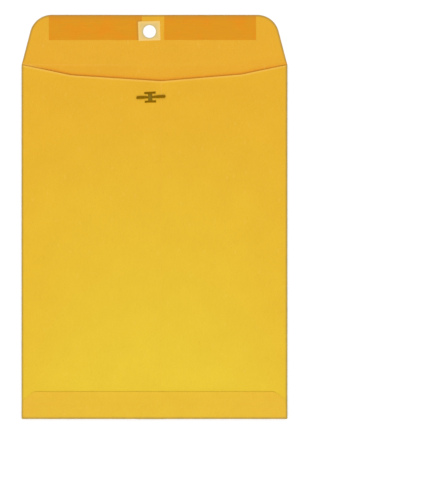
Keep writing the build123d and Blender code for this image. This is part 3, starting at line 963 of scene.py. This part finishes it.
def side_stations(x):
    """Places along a side fold, from its rounded lower end up; its reach wanders a little."""
    reach = HALF_WIDTH - SIDE_X
    corner = PANEL_END_Y - FOLD_Y + CORNER_DROP
    places = []
    for k in range(CORNER_STEPS):
        angle = math.pi / 2 * (k + CORNER_START) / (CORNER_STEPS + CORNER_START)
        drop = corner * math.cos(angle)
        places.append((x, PANEL_END_Y - drop, SIDE_FOLD_HEIGHT, reach * math.sin(angle)))
    for k in range(SIDE_FOLD_STEPS + 1):
        y = PANEL_END_Y + (SHOULDER_Y - PANEL_END_Y) * k / SIDE_FOLD_STEPS
        wander = SIDE_FOLD_WANDER * wave(x, y, FOLD_WANDER_LENGTH, 3.3)
        wander *= smooth(0, SIDE_WANDER_START, y - PANEL_END_Y)
        places.append((x, y, SIDE_FOLD_HEIGHT, reach * (1 - wander)))
    return places


def bottom_stations():
    """Places along the bottom fold, which is higher where it crosses the seam."""
    places = []
    for k in range(BOTTOM_FOLD_STEPS + 1):
        x = -BOTTOM_FLAP_X + 2 * BOTTOM_FLAP_X * k / BOTTOM_FOLD_STEPS
        height = bottom_under(x, FOLD_Y) + PAPER
        wander = BOTTOM_FOLD_WANDER * wave(x, 0, FOLD_WANDER_LENGTH, 6.6)
        places.append((x, FOLD_Y, height, height / 2 * (1 - wander)))
    return places


# Name, node, places, outward direction and material
FOLDS = (
    ("left_fold_paper", "left_side_fold", side_stations(-SIDE_X), (-1, 0, 0), BACK_KRAFT),
    ("right_fold_paper", "right_side_fold", side_stations(SIDE_X)[::-1], (1, 0, 0), BACK_KRAFT),
    ("bottom_fold_paper", "bottom_fold", bottom_stations(), (0, -1, 0), BOTTOM_KRAFT),
)
for fold_name, fold_node, fold_places, outward, fold_material in FOLDS:
    fold = fold_strip(fold_places, Vector(outward))
    dress(fold.piece(fold_name), fold_node, "kraft_paper", "envelope", fold_material)


# The flap, with a root strip that carries on from the front panel up to the crease

FLAP_STEP = 3.0 * MM
FLAP_CORNER_STEPS = 28
CREASE_ROWS = 10  # rows of points in each half of the strip that bends
SPARED_DARKENING = 1.2 * MM  # how much further from an edge the bend counts, so that it is darkened less
SPARED_WIDTH = 1.6 * MM


def flap_side(y):
    """Half the flap's width between its crease and its round corners."""
    return HALF_WIDTH - (y - CREASE_Y) * math.tan(FLAP_LEAN)


def shoulder_side(y):
    """Half the sheet's width between the side folds' upper ends and the crease."""
    return SIDE_X + (HALF_WIDTH - SIDE_X) * (y - SHOULDER_Y) / (CREASE_Y - SHOULDER_Y)


hole_rim = circle(HOLE, HOLE_RADIUS)
crease_rows = [CREASE_Y + CREASE_BLEND * k / CREASE_ROWS for k in range(1 - CREASE_ROWS, CREASE_ROWS + 2)]
root_rows = [y for y in crease_rows if y < SHOULDER_Y]
shoulder_rows = [y for y in crease_rows if SHOULDER_Y < y < CREASE_Y]
turn_rows = [y for y in crease_rows if y > CREASE_Y]
flap_rim = rounded(
    [(HALF_WIDTH, CREASE_Y, 0)]
    + [(flap_side(y), y, 0) for y in turn_rows]
    + [(flap_side(TOP_Y), TOP_Y, FLAP_CORNER), (-flap_side(TOP_Y), TOP_Y, FLAP_CORNER)]
    + [(-flap_side(y), y, 0) for y in reversed(turn_rows)]
    + [(-HALF_WIDTH, CREASE_Y, 0)],
    FLAP_CORNER_STEPS,
)
right_root = [(SIDE_X, y) for y in [ROOT_Y] + root_rows + [SHOULDER_Y]]
right_root += [(shoulder_side(y), y) for y in shoulder_rows]
left_root = [(-x, y) for x, y in reversed(right_root)]
flap_root = [Vector(p) for p in left_root + right_root]
crease_columns = np.linspace(-SIDE_X, SIDE_X, math.ceil(2 * SIDE_X / FLAP_STEP) + 1)[1:-1]
flap = sheet(
    [divided(flap_rim + flap_root, FLAP_STEP), hole_rim],
    flap_under,
    PAPER,
    FLAP_STEP,
    rows=np.array([(x, y) for y in crease_rows for x in crease_columns]),
    near={"edge": [flap_rim]},
)
from_crease = np.abs(flap.readings["place"][:, 1] - CREASE_Y)
flap.readings["edge"] += SPARED_DARKENING * np.exp(-((from_crease / SPARED_WIDTH) ** 2))
flap_piece = flap.piece("seal_flap_paper")
dress(flap_piece, "seal_flap", "kraft_paper", None, INSIDE_KRAFT, OUTSIDE_KRAFT)
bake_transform(flap_piece)

# The patch round the hole

PATCH_STEP = 0.8 * MM
PATCH_ROUND = 0.4 * MM
SMALL_CORNER_STEPS = 5
patch_spin = Matrix.Rotation(PATCH_TURN, 2)
patch_centre = Vector((HOLE.x + PATCH_SHIFT[0], HOLE.y + PATCH_SHIFT[1]))


def patch_corner(right, up):
    """A corner of the askew patch, with right and up each -1 or 1."""
    return patch_centre + patch_spin @ Vector((PATCH_SIZE[0] / 2 * right, PATCH_SIZE[1] / 2 * up))


patch_corners = [patch_corner(-1, -1), patch_corner(1, -1), patch_corner(1, 1), patch_corner(-1, 1)]
patch_rim = rounded([(c.x, c.y, PATCH_ROUND) for c in patch_corners], SMALL_CORNER_STEPS)
patch = sheet(
    [divided(patch_rim, PATCH_STEP), hole_rim],
    on_flap,
    PATCH,
    PATCH_STEP,
    near={"edge": [closed(patch_rim)], "hole": [closed(hole_rim)]},
)
dress(patch.piece("hole_patch_paper"), "hole_patch", "patch_paper", "flap", PALE_PATCH)


# Gum strips and glue lines, with slightly wandering edges

GUM_MARGIN = 0.15 * MM
GUM_STEP = 1.2 * MM
GUM_RIM_STEP = 1.0 * MM
GLUE_STEP = 3.0 * MM
GLUE_RIM_STEP = 2.0 * MM
FILM_DRIFT = 0.14 * MM
FILM_WANDER = 5 * MM  # about how long a wave of the edge is


def wandering(loop):
    """An outline whose edge wanders a little, as a rolled film's does."""
    moved = []
    for p in loop:
        aside = 2 * wave(p.y, p.x, FILM_WANDER, 2.5) - 1
        along = 2 * wave(p.x, p.y, FILM_WANDER, 7.5) - 1
        moved.append(p + FILM_DRIFT * Vector((aside, along)))
    return moved


gum_low, gum_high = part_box("flap_gum_left")
left_gum_outline = [
    Vector((gum_low.x, gum_low.y)),
    Vector((patch_corner(-1, -1).x, gum_low.y)),
    patch_corner(-1, 1) - Vector((GUM_MARGIN, -GUM_MARGIN)),
    Vector((gum_high.x, patch_corner(0, 1).y + GUM_MARGIN)),
    Vector((gum_high.x, gum_high.y - GUM_MARGIN)),
    Vector((gum_low.x, gum_high.y - GUM_MARGIN)),
]
gum_low, gum_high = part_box("flap_gum_right")
right_gum_outline = rectangle(gum_low.x, gum_low.y, gum_high.x, gum_high.y - GUM_MARGIN)
for gum_name, gum_outline in (("flap_gum_left", left_gum_outline), ("flap_gum_right", right_gum_outline)):
    gum_rim = wandering(divided(gum_outline, GUM_RIM_STEP))
    gum_near = {"edge": [flap_rim], "patch": [closed(patch_rim)]}
    gum = sheet([gum_rim], on_flap, GUM_FILM, GUM_STEP, near=gum_near)
    dress(gum.piece(gum_name + "_film"), gum_name, "flap_gum", "flap", GUM)

# Each glue line and the underside of the panel that it lies on
GLUED = {"seam_glue": right_under, "bottom_glue_left": left_under, "bottom_glue_right": right_under}
for glue_name, panel_under in GLUED.items():
    glue_low, glue_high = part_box(glue_name)
    glue_outline = rectangle(glue_low.x, glue_low.y, glue_high.x, glue_high.y)
    glue_rim = wandering(divided(glue_outline, GLUE_RIM_STEP))
    glue = sheet([glue_rim], lambda x, y: panel_under(x, y) + PAPER, GLUE_FILM, GLUE_STEP)
    dress(glue.piece(glue_name + "_film"), glue_name, "glue_line", "envelope", GLUE)


# The clasp

CLASP_SEAT = CLASP_TOP - METAL
CLASP_ROUND = 0.25 * MM
CLASP_STEP = 0.16 * MM
CLASP_EASE = 0.05 * MM
CLASP_SHARP = 60  # degrees from which a corner of the metal stays hard
BAR_SHADE_START = 1.3  # in bar widths, how far inside a bar's outer edge its painted shade starts
BAR_SHADE_RUN = 0.5
LEG_BEND = (CLASP_SEAT - TOE_LOW) / 2  # radius at which a leg turns down and back under the paper
LEG_BEND_START = (CLASP_HEIGHT - METAL) / 2 - LEG_BEND
BAR_ROLL = math.radians(55)  # how far a bar's outer edge is turned down between its legs


def clasp_point(across, along, z):
    """A place on the clasp, from its middle."""
    return Vector((CLASP.x, CLASP.y, z)) + ACROSS * across + ALONG * along


def clasp_pattern():
    """The flat I shape of the base with its four legs, counterclockwise."""
    stem = STEM_WIDTH / 2
    bar = BAR_LENGTH / 2
    leg = bar - LEG_WIDTH
    inner = CLASP_HEIGHT / 2 - BAR_WIDTH
    rolled = LEG_BEND_START + LEG_BEND * BAR_ROLL
    toe = LEG_BEND_START + LEG_BEND * math.pi + LEG_BEND_START - (CLASP_HEIGHT / 2 - TOE_LENGTH)
    upper = [(stem, inner), (bar, inner), (bar, toe), (leg, toe), (leg, rolled)]
    half = [(x, -y) for x, y in reversed(upper)] + upper
    shape = half + [(-x, -y) for x, y in half]
    return rounded([(x, y, CLASP_ROUND) for x, y in shape], SMALL_CORNER_STEPS)


def clasp_bent(across, along, level):
    """Where a place of the flat pattern goes; level is 0.5 on the pattern's top and -0.5 below it."""
    run = abs(along) - LEG_BEND_START
    turn = min(max(run / LEG_BEND, 0.0), math.pi)
    back = max(run - math.pi * LEG_BEND, 0.0)
    out = min(abs(along), LEG_BEND_START) - back + (LEG_BEND + level * METAL) * math.sin(turn)
    z = CLASP_SEAT + METAL / 2 - LEG_BEND + (LEG_BEND + level * METAL) * math.cos(turn)
    return clasp_point(across, math.copysign(out, along), z)


base = sheet([divided(clasp_pattern(), CLASP_STEP)], lambda x, y: -METAL / 2, METAL, CLASP_STEP)
base.undersides = set()
base.vertices = [clasp_bent(x, y, z / METAL) for x, y, z in base.vertices]
base_places = np.array([tuple(v) for v in base.vertices])
from_middle = np.abs((base_places - np.array(CLASP)) @ np.array(ALONG))
shade_start = CLASP_HEIGHT / 2 - BAR_SHADE_START * BAR_WIDTH
bar_shade = np.clip((from_middle - shade_start) / (BAR_SHADE_RUN * BAR_WIDTH), 0, 1)
base.readings = {"place": base_places, "shade": bar_shade}
base_piece = base.piece("clasp_base_metal", CLASP_SHARP)
ease = base_piece.modifiers.new("ease", "BEVEL")
ease.width = CLASP_EASE
ease.segments = 2
ease.limit_method = "ANGLE"
ease.angle_limit = math.radians(CLASP_SHARP)
dress(base_piece, "clasp_base", "clasp_metal", "envelope", BRASS)


PRONG_TUCK = 0.3 * MM  # how far a prong's root reaches into the stem
PRONG_STEPS = 64
PRONG_CROWDING = 1.6  # 1 is evenly spaced, more sets the stations closer towards the tip
SLOPE_STEP = 0.01 * MM  # to each side of a place where the slope is taken
TIP_EASE = 0.5  # share of the metal's thickness that is eased off at the tip
TIP_EASE_RUN = 0.12 * MM


def prong_level(out):
    """Height of a prong's middle, from its bending line outwards."""
    start = BEND_REACH + PRONG_ROOT_RUN
    return CLASP.z + (PRONG_TOP - METAL / 2 - CLASP.z) * smooth(start, start + PRONG_JOG_RUN, out)


def prong_width(out, reach):
    """Width of a prong, with the rounded corners of its blunt tip."""
    widening = smooth(BEND_REACH, BEND_REACH + PRONG_WIDENING, out)
    width = PRONG_ROOT_WIDTH + (PRONG_TIP_WIDTH - PRONG_ROOT_WIDTH) * widening
    past = max((out - reach) / PRONG_TIP_ROUND + 1, 0.0)
    return width - 2 * PRONG_TIP_ROUND * (1 - math.sqrt(max(1 - past * past, 0.0)))


def prong(name, side, reach, node):
    """One prong, from under the stem's edge to its tip."""
    start = STEM_WIDTH / 2 - PRONG_TUCK
    path = []
    for k in range(PRONG_STEPS + 1):
        out = start + (reach - start) * (1 - (1 - k / PRONG_STEPS) ** PRONG_CROWDING)
        rise = prong_level(out + SLOPE_STEP) - prong_level(out - SLOPE_STEP)
        ahead = Vector((2 * SLOPE_STEP, rise)).normalized()
        up = ACROSS * (-side * ahead.y) + Vector((0, 0, ahead.x))
        eased = METAL * (1 - TIP_EASE * smooth(reach - TIP_EASE_RUN, reach, out))
        centre = clasp_point(side * out, 0, prong_level(out))
        path.append((centre, ALONG * -side, up, prong_width(out, reach), eased))
    piece = metal_strip(path).piece(name, CLASP_SHARP)
    dress(piece, node, "clasp_metal", None, BRASS)
    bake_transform(piece)


prong("left_prong_metal", -1, LEFT_PRONG_REACH, "clasp_prong_left")
prong("right_prong_metal", 1, RIGHT_PRONG_REACH, "clasp_prong_right")


# Stage

def backdrop_switch(nodes, links):
    """1 for what the camera, a reflection or glass sees, 0 for light that falls on things."""
    path = nodes.new("ShaderNodeLightPath")
    seen = path.outputs["Is Camera Ray"]
    for name in ("Is Glossy Ray", "Is Transmission Ray"):
        either = nodes.new("ShaderNodeMath")
        either.operation = "MAXIMUM"
        links.new(seen, either.inputs[0])
        links.new(path.outputs[name], either.inputs[1])
        seen = either.outputs[0]
    return seen


WHITE = (1.0, 1.0, 1.0, 1.0)
AMBIENT = 0.74
SUN = 1.08
SUN_PLACE = (-0.12, -0.85, 1.0)  # direction that the main light comes from
SUN_WIDTH = math.radians(28)

world = bpy.data.worlds.new("studio")
world.use_nodes = True
bpy.context.scene.world = world
sky = world.node_tree
light_sky = sky.nodes["Background"]
light_sky.inputs["Color"].default_value = WHITE
light_sky.inputs["Strength"].default_value = AMBIENT
seen_sky = sky.nodes.new("ShaderNodeBackground")
seen_sky.inputs["Color"].default_value = WHITE
seen_sky.inputs["Strength"].default_value = 1.0
sky_mix = sky.nodes.new("ShaderNodeMixShader")
sky.links.new(backdrop_switch(sky.nodes, sky.links), sky_mix.inputs[0])
sky.links.new(light_sky.outputs[0], sky_mix.inputs[1])
sky.links.new(seen_sky.outputs[0], sky_mix.inputs[2])
sky.links.new(sky_mix.outputs[0], sky.nodes["World Output"].inputs["Surface"])

sun_data = bpy.data.lights.new("main_light", "SUN")
sun_data.energy = SUN
sun_data.angle = SUN_WIDTH
sun = bpy.data.objects.new("main_light", sun_data)
sun.rotation_euler = (-Vector(SUN_PLACE)).to_track_quat("-Z", "Y").to_euler()
bpy.context.scene.collection.objects.link(sun)

FLOOR_HALF = 4.0
FLOOR_Z = -0.05 * MM
FLOOR_GLOW = 0.04
FLOOR_GREY = (0.8, 0.8, 0.8, 1.0)
floor_mesh = bpy.data.meshes.new("floor")
floor_corners = [(-1, -1), (1, -1), (1, 1), (-1, 1)]
floor_places = [(x * FLOOR_HALF, y * FLOOR_HALF, FLOOR_Z) for x, y in floor_corners]
floor_mesh.from_pydata(floor_places, [], [(0, 1, 2, 3)])
floor = bpy.data.objects.new("floor", floor_mesh)
bpy.context.scene.collection.objects.link(floor)
paint = Tree("floor_white")
paint.set(Roughness=1.0, Specular_IOR_Level=0.0)
switch = backdrop_switch(paint.nodes, paint.links)
paint.set(Base_Color=paint.mix(switch, FLOOR_GREY, WHITE))
paint.set(Emission_Color=WHITE, Emission_Strength=paint.math("MULTIPLY", switch, FLOOR_GLOW))
floor_mesh.materials.append(paint.material)

# Camera, square above the envelope, at the photograph's framing
IMAGE_WIDTH = 436
IMAGE_HEIGHT = 500
ENVELOPE_MIDDLE_PX = (154.5, 217.0)
PX_PER_M = 1162.0
LENS = 85.0
SENSOR = 36.0
CLIP_END = 20.0

camera_data = bpy.data.cameras.new("camera")
camera_data.lens = LENS
camera_data.sensor_width = SENSOR
camera_data.sensor_fit = "AUTO"
camera_data.clip_end = CLIP_END
camera = bpy.data.objects.new("camera", camera_data)
camera.location = (
    (IMAGE_WIDTH / 2 - ENVELOPE_MIDDLE_PX[0]) / PX_PER_M,
    (ENVELOPE_MIDDLE_PX[1] - IMAGE_HEIGHT / 2) / PX_PER_M,
    LENS / SENSOR * IMAGE_HEIGHT / PX_PER_M,
)
bpy.context.scene.collection.objects.link(camera)
bpy.context.scene.camera = camera

bpy.context.scene.view_settings.view_transform = "Standard"
